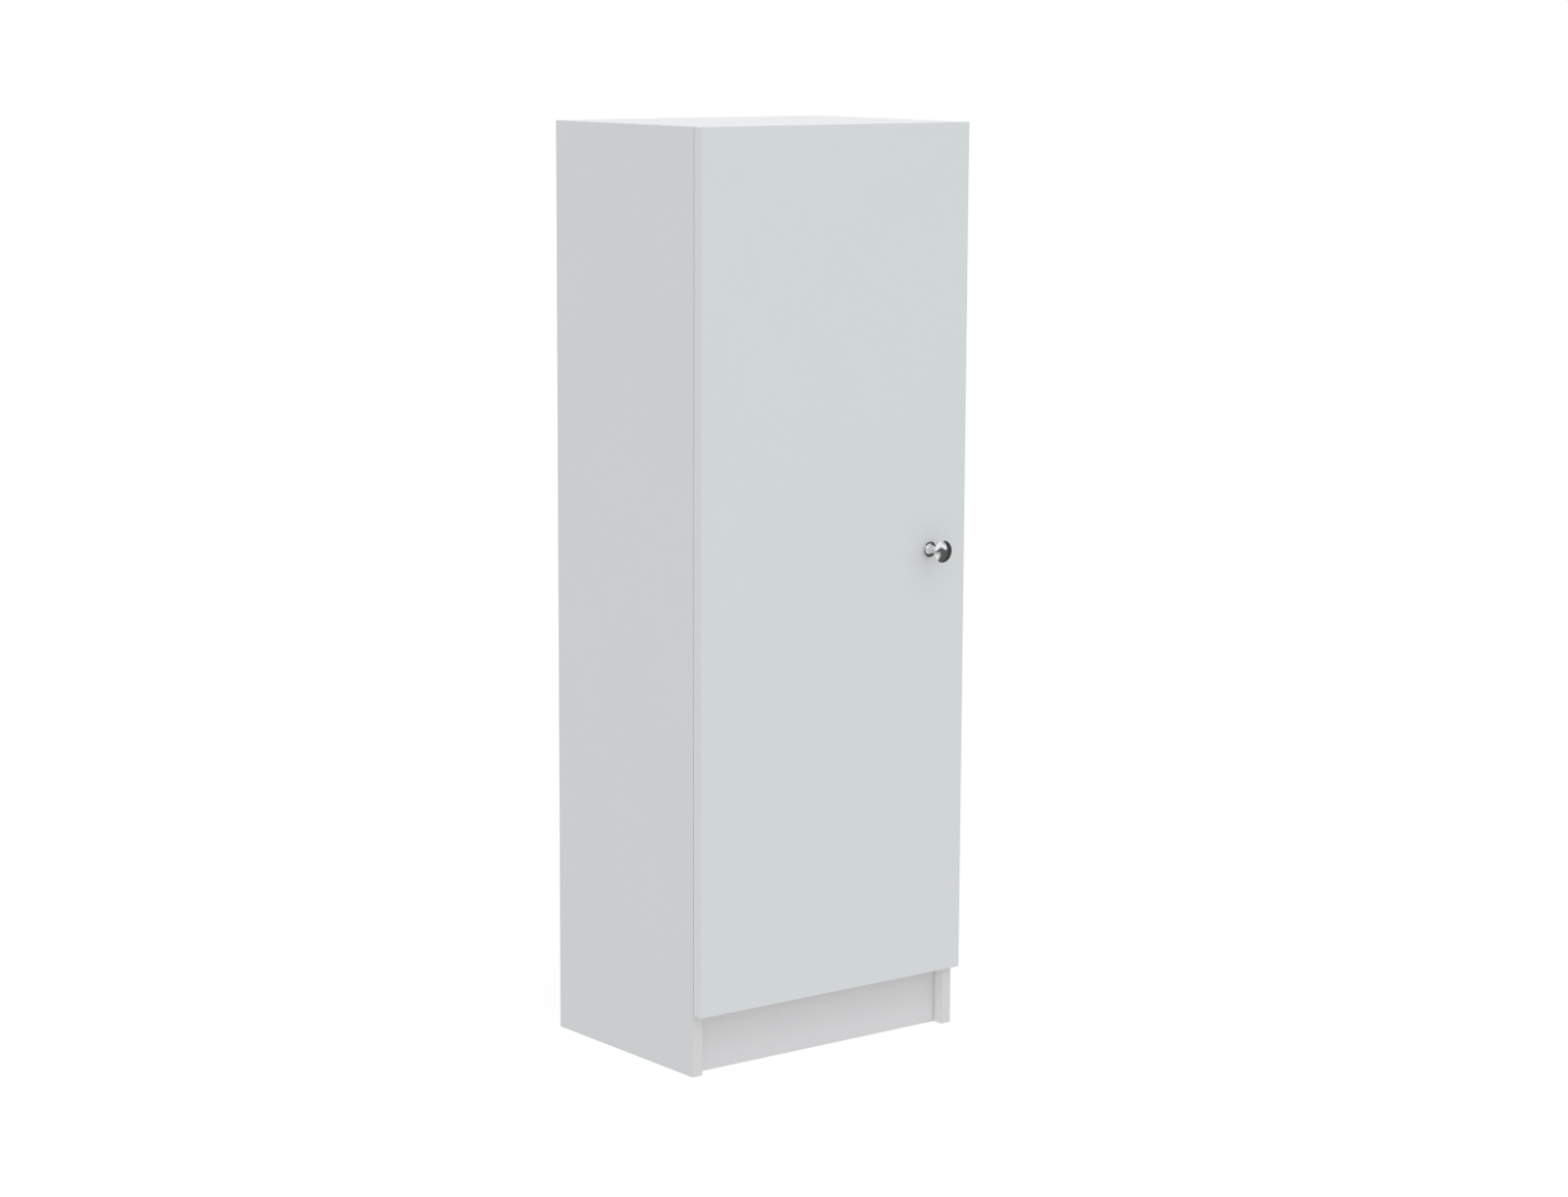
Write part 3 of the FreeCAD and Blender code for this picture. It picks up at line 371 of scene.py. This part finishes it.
def chrome(name, centre_x, centre_z):
    """Polished chrome on the turned knob, with faint turning lines around its
    axis and the trace of fingers on the head."""
    m, g, p = new_material(name)
    vec, x, y, z = g.place()
    dx = g.math("SUBTRACT", x, centre_x)
    dz = g.math("SUBTRACT", z, centre_z)
    r = g.math("SQRT", g.math("ADD", g.math("MULTIPLY", dx, dx),
                              g.math("MULTIPLY", dz, dz)))
    comb = g.add("ShaderNodeCombineXYZ", {"X": r, "Y": y})
    rings = g.noise(g.stretched(comb.outputs[0], 2600, 2600, 1), 1.0, 2.0, 0.5)
    smudge = g.noise(vec, 210.0, 4.0, 0.65, 0.8)
    g.feed(p.inputs["Base Color"], g.scaled((0.80, 0.805, 0.815), g.math(
        "MULTIPLY_ADD", smudge, 0.06, 0.95)))
    p.inputs["Metallic"].default_value = 1.0
    g.feed(p.inputs["Roughness"], g.span(smudge, 0.35, 0.75, 0.035, 0.13))
    g.feed(p.inputs["Normal"], g.bump(rings, 0.000004, 0.5))
    return m


def clear_rubber(name):
    m, g, p = new_material(name)
    vec, x, y, z = g.place()
    cloud = g.noise(vec, 420.0, 3.0, 0.6)
    g.feed(p.inputs["Base Color"], g.scaled((0.80, 0.82, 0.82), g.math(
        "MULTIPLY_ADD", cloud, 0.10, 0.92)))
    g.feed(p.inputs["Roughness"], g.math("MULTIPLY_ADD", cloud, 0.2, 0.22))
    p.inputs["Transmission Weight"].default_value = 0.55
    p.inputs["IOR"].default_value = 1.46
    g.feed(p.inputs["Normal"], g.bump(cloud, 0.00004, 0.5))
    return m


# ---------------------------------------------------------------- finishes
def hand_wear(kx, kz):
    """Where fingers reach round the knob, and scuffs along the door's bottom."""
    def wear(g, vec, x, y, z):
        dx = g.math("SUBTRACT", x, kx)
        dz = g.math("SUBTRACT", z, kz)
        d = g.math("SQRT", g.math("ADD", g.math("MULTIPLY", dx, dx),
                                  g.math("MULTIPLY", dz, dz)))
        near = g.span(d, 0.015, 0.085, 1.0, 0.0)
        print_ = g.span(g.noise(vec, 90.0, 4.0, 0.7, 0.4), 0.46, 0.70)
        low = g.span(z, 0.080, 0.150, 1.0, 0.0)
        scuff = g.span(g.noise(g.stretched(vec, 30, 30, 160), 1.0, 4.0, 0.7),
                       0.62, 0.78)
        return g.math("ADD", g.math("MULTIPLY", g.math("MULTIPLY", near, print_),
                                    0.035),
                      g.math("MULTIPLY", g.math("MULTIPLY", low, scuff), 0.05))
    return wear


def floor_wear(top, strength=0.05):
    """Where shoes, mops and water reach: the lowest part of what stands on the
    floor."""
    def wear(g, vec, x, y, z):
        low = g.span(z, 0.0, top, 1.0, 0.0)
        scuff = g.span(g.noise(g.stretched(vec, 26, 26, 110), 1.0, 4.0, 0.7, 0.6),
                       0.55, 0.80)
        return g.math("MULTIPLY", g.math("MULTIPLY", low, scuff), strength)
    return wear


def plinth_shade(left, right):
    """Painted shade on the plinth: darker towards the top, under the door, and darker in
    its two corners.
    """
    def shade(g, x, y, z):
        overhang_shade = g.span(z, 0.005, 0.050, 0.987, 0.948)
        # painted shade: darker within a few millimetres of each end, in the corners
        away = g.math("MINIMUM", g.math("SUBTRACT", right, x),
                      g.math("SUBTRACT", x, left))
        return g.math("MULTIPLY", overhang_shade, g.span(away, 0.0005, 0.0045, 0.90, 1.0))
    return shade


def recess_painted_light(inner, plinth, top):
    """Painted light on the side's inner face in front of the plinth: a lighter,
    less blue white than the rest, with painted shade in the corner.  inner is
    that face's place across.  Gives how much of it a place has, and its colour."""
    def patch(g, x, y, z):
        # painted light: a lighter, less blue white on the inner face in front of the plinth
        near = g.span(g.math("ABSOLUTE", g.math("SUBTRACT", x, inner)),
                      0.0005, 0.0020, 1.0, 0.0)
        ahead = g.span(y, plinth - 0.0010, plinth, 1.0, 0.0)
        low = g.span(z, top - 0.0010, top, 1.0, 0.0)
        part = g.math("MULTIPLY", g.math("MULTIPLY", near, ahead), low)
        # painted shade: darker in the corner next to the plinth
        tone = g.span(y, plinth - 0.0045, plinth - 0.0005, 1.0, 0.85)
        return part, g.scaled((0.918, 0.910, 0.915), tone)
    return patch


def shelf_wear(level, strength=0.10):
    """Rubbed marks of what has stood on a horizontal board."""
    def wear(g, vec, x, y, z):
        up = g.span(z, level - 0.0003, level - 0.0001)
        rub = g.span(g.noise(g.stretched(vec, 22, 60, 10), 1.0, 5.0, 0.7, 1.4),
                     0.56, 0.76)
        return g.math("MULTIPLY", g.math("MULTIPLY", up, rub), strength)
    return wear


def box_of(name):
    low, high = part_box(name)
    return low, high


def paint(names, material):
    for name in names:
        slots = NODES[name].material_slots
        if len(slots) == 0:
            NODES[name].data.materials.append(material)
        for s in NODES[name].material_slots:
            s.material = material


knob_low, knob_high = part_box("knob")
KX = (knob_low.x + knob_high.x) / 2
KZ = (knob_low.z + knob_high.z) / 2

plinth_low, plinth_high = box_of("plinth_board")
lo, hi = box_of("side_panel_left")
# painted light on the inner face in front of the plinth, with painted shade in its corner
paint(["side_panel_left"], melamine("melamine_side_left", "x", lo.x, hi.x,
      glue=[("y", lo.y), ("z", hi.z)], wear=floor_wear(0.09),
      patch=recess_painted_light(hi.x, plinth_low.y, plinth_high.z)))
lo, hi = box_of("side_panel_right")
# painted light on the inner face in front of the plinth, with painted shade in its corner
paint(["side_panel_right"], melamine("melamine_side_right", "x", lo.x, hi.x,
      glue=[("y", lo.y), ("z", hi.z)], wear=floor_wear(0.09),
      patch=recess_painted_light(lo.x, plinth_low.y, plinth_high.z)))
lo, hi = box_of("top_panel")
paint(["top_panel"], melamine("melamine_top", "z", lo.z, hi.z,
      glue=[("y", lo.y)], white=(0.790, 0.796, 0.798)))
lo, hi = box_of("bottom_panel")
paint(["bottom_panel"], melamine("melamine_bottom", "z", lo.z, hi.z,
      glue=[("y", lo.y)], wear=shelf_wear(hi.z, 0.16)))
lo, hi = box_of("shelf")
paint(["shelf"], melamine("melamine_shelf", "z", lo.z, hi.z,
      glue=[("y", lo.y)], wear=shelf_wear(hi.z, 0.10)))
lo, hi = box_of("plinth_board")
# plinth: painted shade, darker towards the top under the door and in its corners; its white
# is lighter and less blue than the other boards', painted to the light it gets
paint(["plinth_board"], melamine("melamine_plinth", "y", lo.y, hi.y,
      wear=floor_wear(0.045, 0.07), white=(0.808, 0.800, 0.805),
      shade=plinth_shade(lo.x, hi.x)))
lo, hi = box_of("door_panel")
paint(["door_panel"], melamine("melamine_door", "y", lo.y, hi.y,
      glue=[("x", lo.x), ("x", hi.x), ("z", lo.z), ("z", hi.z)],
      wear=hand_wear(KX, KZ)))
paint(["edge_band_side_left", "edge_band_side_right"],
      edge_band("edge_band_upright", "z", (0.789, 0.779, 0.783)))
paint(["edge_band_top_panel", "edge_band_bottom_panel", "edge_band_shelf"],
      edge_band("edge_band_level", "x"))
paint(["edge_bands_door"], edge_band("edge_band_door", "z"))
lo, hi = box_of("back_panel")
paint(["back_panel"], hardboard("hardboard_back", lo.y))
paint(["carcass_dowels", "plinth_dowels"], beech("beech_dowel"))
paint(["cam_locks"], metal("zinc_casting", (0.50, 0.505, 0.515), 0.46, 0.10,
      (1500.0, 3.0), 0.00006, edge=0.00025))
plated = metal("zinc_plated_steel", (0.66, 0.67, 0.69), 0.31, 0.10,
               (2600.0, 3.0), 0.00002, stain=((0.66, 0.62, 0.50), 0.35),
               edge=0.00015)
paint(["cam_bolts", "back_panel_nails", "shelf_pins"], plated)
nickel = metal("nickel_plated_steel", (0.70, 0.685, 0.655), 0.23, 0.08,
               (3000.0, 2.0), 0.000012, edge=0.00022, lines="y")
paint([n for n in NODES if n.startswith(("hinge_mounting_plate_", "hinge_arm_",
                                         "hinge_outer_link_",
                                         "hinge_inner_link_", "hinge_cup_"))],
      nickel)
paint(["mounting_plate_screws", "hinge_cup_screws", "hinge_arm_screws",
       "hinge_adjusting_screws", "knob_screw", "hinge_arm_pins",
       "hinge_cup_pins"], plated)
paint(["door_bumpers"], clear_rubber("clear_rubber"))


# ---------------------------------------------------------------- the knob
def arc_through(a, b, mid, n):
    """Points from a to b on the circle through mid, a left out."""
    ax, ay = a
    bx, by = b
    mx, my = mid
    d = 2 * (ax * (my - by) + mx * (by - ay) + bx * (ay - my))
    ux = ((ax * ax + ay * ay) * (my - by) + (mx * mx + my * my) * (by - ay)
          + (bx * bx + by * by) * (ay - my)) / d
    uy = ((ax * ax + ay * ay) * (bx - mx) + (mx * mx + my * my) * (ax - bx)
          + (bx * bx + by * by) * (mx - ax)) / d
    r = math.hypot(ax - ux, ay - uy)
    a0 = math.atan2(ay - uy, ax - ux)
    a1 = math.atan2(by - uy, bx - ux)
    am = math.atan2(my - uy, mx - ux)
    turn = (a1 - a0) % (2 * math.pi)
    if (am - a0) % (2 * math.pi) > turn:
        turn -= 2 * math.pi
    return [(ux + r * math.cos(a0 + turn * i / n), uy + r * math.sin(a0 + turn * i / n))
            for i in range(1, n + 1)]


def lathe(name, profile, turns, place):
    """A turned mesh from a (radius, height) profile; place maps (x, y, z) of
    the lathe, with its axis along z, to the row frame."""
    verts, faces, rings = [], [], []
    for r, h in profile:
        if r < 1e-7:
            rings.append([len(verts)])
            verts.append(place(0.0, 0.0, h))
            continue
        ring = []
        for i in range(turns):
            a = 2 * math.pi * i / turns
            ring.append(len(verts))
            verts.append(place(r * math.cos(a), r * math.sin(a), h))
        rings.append(ring)
    for a, b in zip(rings, rings[1:]):
        for i in range(turns):
            j = (i + 1) % turns
            if len(a) == 1 and len(b) == 1:
                continue
            if len(a) == 1:
                faces.append((a[0], b[j], b[i]))
            elif len(b) == 1:
                faces.append((a[i], a[j], b[0]))
            else:
                faces.append((a[i], a[j], b[j], b[i]))
    mesh = bpy.data.meshes.new(name)
    mesh.from_pydata(verts, [], faces)
    mesh.validate()
    mesh.update()
    obj = bpy.data.objects.new(name, mesh)
    scene.collection.objects.link(obj)
    return obj


def outward(obj):
    import bmesh
    b = bmesh.new()
    b.from_mesh(obj.data)
    bmesh.ops.recalc_face_normals(b, faces=b.faces)
    b.to_mesh(obj.data)
    b.free()


def smooth_shade(obj, degrees=35.0):
    mesh = obj.data
    for poly in mesh.polygons:
        poly.use_smooth = True
    mesh.set_sharp_from_angle(angle=math.radians(degrees))


KL = 35.0
rise = 4.5
rs = (14.5 * 14.5 + rise * rise) / (2 * rise)
half = math.asin(14.5 / rs) / 2
prof = [(0.0, 12.0), (2.0, 12.0), (2.0, 0.25), (2.25, 0.0), (10.2, 0.0), (10.7, 0.25),
        (11.0, 0.7), (11.0, 2.1)]
prof += arc_through((11.0, 2.1), (10.65, 2.5), (10.9, 2.39), 6)
prof += [(10.6, 2.515), (10.52, 2.52), (7.8, 2.6), (7.7, 2.61), (7.6, 2.63)]
prof += arc_through((7.6, 2.63), (6.6, 19.0), (5.0, 10.5), 40)
prof += arc_through((6.6, 19.0), (14.3, KL - 6.9), (9.0, 25.0), 22)
prof += arc_through((14.3, KL - 6.9), (14.5, KL - 4.5), (15.3, KL - 5.7), 10)
prof += arc_through((14.5, KL - 4.5), (0.0, KL),
                    (rs * math.sin(half), KL - rs + rs * math.cos(half)), 20)
prof[-1] = (0.0, KL)
front = knob_high.y
knob = lathe("turned_knob", prof, 96,
             lambda x, y, z: (KX + x / 1000, front - z / 1000, KZ + y / 1000))
outward(knob)
smooth_shade(knob, 40)
knob.data.materials.append(chrome("polished_chrome", KX, KZ))
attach(knob, "door")
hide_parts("knob")

# ---------------------------------------------------------------- studio
def floor_disc(name, radius, drop, albedo, glow, tint):
    """A wide round sheet of pale paper that also glows a little, as a lit
    table does."""
    seg = 96
    mesh = bpy.data.meshes.new(name)
    mesh.from_pydata([(radius * math.cos(2 * math.pi * i / seg),
                       radius * math.sin(2 * math.pi * i / seg), 0)
                      for i in range(seg)], [], [tuple(range(seg))])
    obj = bpy.data.objects.new(name, mesh)
    obj.location.z = -drop
    scene.collection.objects.link(obj)
    m, g, p = new_material(name + "_paper")
    vec, x, y, z = g.place()
    g.feed(p.inputs["Base Color"], g.scaled((albedo, albedo, albedo), g.math(
        "MULTIPLY_ADD", g.noise(vec, 3.0, 3.0, 0.5), 0.01, 0.995)))
    p.inputs["Emission Color"].default_value = (*tint, 1.0)
    p.inputs["Emission Strength"].default_value = glow
    g.feed(p.inputs["Roughness"], g.math(
        "MULTIPLY_ADD", g.noise(vec, 9.0, 2.0, 0.5), 0.05, 0.9))
    p.inputs["Specular IOR Level"].default_value = 0.0
    mesh.materials.append(m)
    obj.visible_glossy = False
    return obj


# the floor as it is seen, and as it throws light back on the object
floor = floor_disc("studio_floor", 32.0, 0.0002, 0.31, 0.77, (1.0, 1.0, 1.0))
floor.visible_diffuse = False
bounce = floor_disc("studio_floor_bounce", 300.0, 0.0003, 0.15, 0.61,
                    (1.015, 1.0, 0.995))
bounce.visible_camera = False

world = bpy.data.worlds.new("studio")
scene.world = world
world.use_nodes = True
wt = world.node_tree
wt.nodes.clear()
g = Graph(wt)
out = g.add("ShaderNodeOutputWorld")
tc = g.add("ShaderNodeTexCoord")
d = tc.outputs["Generated"]
sep = g.add("ShaderNodeSeparateXYZ", {"Vector": d})
wx, wy, wz = sep.outputs["X"], sep.outputs["Y"], sep.outputs["Z"]
up = g.math("MAXIMUM", wz, 0.0)
# light on the surfaces: a soft dome, an overhead softbox, a weaker front fill
above = g.math("GREATER_THAN", wz, 0.0)
overhead = g.math("MULTIPLY", g.math("POWER", up, 3.0), 0.804)
fill = g.math("MULTIPLY", g.math("MAXIMUM", g.math("MULTIPLY", wy, -1.0), 0.0), 0.510)
fill = g.math("MULTIPLY", fill, above)
light = g.vmath("ADD", g.scaled((1.03, 1.0, 0.985), overhead),
                g.scaled((0.94, 1.0, 1.03), fill))
light = g.vmath("ADD", light, g.scaled((0.98, 1.0, 1.025),
                                       g.math("MULTIPLY", above, 0.508)))

# what polished metal reflects: softboxes above a dim horizon, a dark room on
# the right and in front, pale floor on the left, a bright backdrop behind
deg = math.radians
around = g.math("ARCTAN2", wx, g.math("MULTIPLY", wy, -1.0))
lump = g.math("MULTIPLY", g.span(around, deg(-26), deg(7)),
              g.span(around, deg(42), deg(12)))
middle = g.math("MULTIPLY_ADD", lump, 0.27, 0.03)
width = g.math("MULTIPLY_ADD", lump, 0.06, 0.15)
upper = g.span(g.math("DIVIDE", g.math("SUBTRACT", wz, middle), width), -1.0, 1.0)
right_end = g.math("MAXIMUM", g.span(around, deg(62), deg(45)),
                   g.span(wz, 0.55, 0.80))
dip = g.math("MULTIPLY", g.math("MULTIPLY", g.span(around, deg(22), deg(40)),
                                g.span(around, deg(66), deg(44))),
             g.math("MULTIPLY", g.span(wz, 0.32, 0.56), g.span(wz, 0.86, 0.62)))
lamp = g.math("MULTIPLY", g.math("MULTIPLY", upper, right_end),
              g.math("MULTIPLY_ADD", dip, -0.42, 1.06))
low_left = g.math("MULTIPLY", g.span(around, deg(20), deg(-10)),
                  g.span(wz, 0.02, -0.18))
low_left = g.math("MULTIPLY", low_left,
                  g.math("MULTIPLY_ADD", g.span(wz, -0.15, -0.50), 0.45, 0.50))
horizon = g.math("MULTIPLY", g.span(around, deg(-8), deg(-24)), 0.47)
gloom = g.math("MULTIPLY_ADD", g.span(around, deg(45), deg(70)), -0.06, 0.12)
front_of = g.math("MAXIMUM", g.math("MAXIMUM", lamp, gloom),
                  g.math("MAXIMUM", low_left, horizon))
behind = g.math("MAXIMUM", g.span(around, deg(-98), deg(-112)),
                g.span(around, deg(108), deg(122)))
backdrop = g.span(g.vmath("DOT_PRODUCT", d, tuple(Vector((0.60, 0.76, 0.22)).normalized())),
                  0.80, 0.92)
gloss = g.add("ShaderNodeMix", {"Factor": behind, "A": front_of,
                                "B": g.math("MULTIPLY_ADD", backdrop, 0.27, 0.93)},
              data_type="FLOAT").outputs[0]
path = g.add("ShaderNodeLightPath")
level = g.mix(path.outputs["Is Glossy Ray"], light,
              g.add("ShaderNodeCombineColor", {"Red": gloss, "Green": gloss,
                                               "Blue": gloss}).outputs[0])
level = g.mix(path.outputs["Is Camera Ray"], level, (1.0, 1.0, 1.0))
bg = g.add("ShaderNodeBackground", {"Color": level, "Strength": 1.0})
wt.links.new(bg.outputs[0], out.inputs["Surface"])

scene.view_settings.view_transform = "Standard"
scene.view_settings.look = "None"
scene.view_settings.exposure = 0.0
scene.view_settings.gamma = 1.0

# ---------------------------------------------------------------- camera
yaw, pitch, roll = (math.radians(a) for a in (38.026, 9.199, 0.286))
forward = Vector((math.sin(yaw) * math.cos(pitch), math.cos(yaw) * math.cos(pitch),
                  -math.sin(pitch)))
right = Vector((math.cos(yaw), -math.sin(yaw), 0.0))
upward = right.cross(forward)
r2 = right * math.cos(roll) + upward * math.sin(roll)
u2 = upward * math.cos(roll) - right * math.sin(roll)
cam_data = bpy.data.cameras.new("camera")
cam_data.sensor_fit = "HORIZONTAL"
cam_data.sensor_width = 36.0
cam_data.lens = 83.622
cam_data.clip_start, cam_data.clip_end = 0.1, 200.0
camera = bpy.data.objects.new("camera", cam_data)
camera.matrix_world = Matrix((
    (r2.x, u2.x, -forward.x, -3.0158),
    (r2.y, u2.y, -forward.y, -3.8911),
    (r2.z, u2.z, -forward.z, 1.4043),
    (0.0, 0.0, 0.0, 1.0)))
scene.collection.objects.link(camera)
scene.camera = camera

# ---------------------------------------------------------------- end
bpy.context.view_layer.update()
